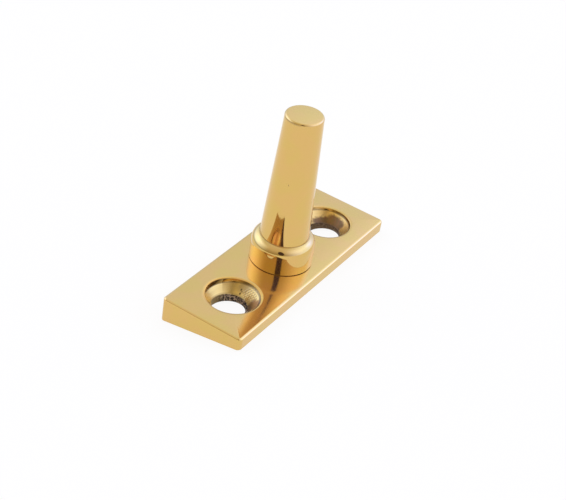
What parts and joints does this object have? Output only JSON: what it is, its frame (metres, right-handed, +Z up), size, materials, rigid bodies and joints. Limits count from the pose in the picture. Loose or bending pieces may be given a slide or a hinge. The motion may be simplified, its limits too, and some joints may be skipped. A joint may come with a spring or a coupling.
{
  "type": "casement stay pin",
  "caption": "Tapered peg with a round-shouldered collar, riveted square to the sloping top of a wedge-section base plate with countersunk screw holes.",
  "frame": {"origin": "on the plane of the underside, below the middle of the bounding box", "axes": "+X along the plate, +Z up from the underside, -Y towards the plate's thin side, which the peg leans to"},
  "size_m": [0.0484, 0.0168, 0.0337],
  "materials": {
    "polished_brass": "mirror polished and lacquered"
  },
  "bodies": {
    "root": {"base_plate": "polished_brass", "peg": "polished_brass"}
  },
  "joints": []
}
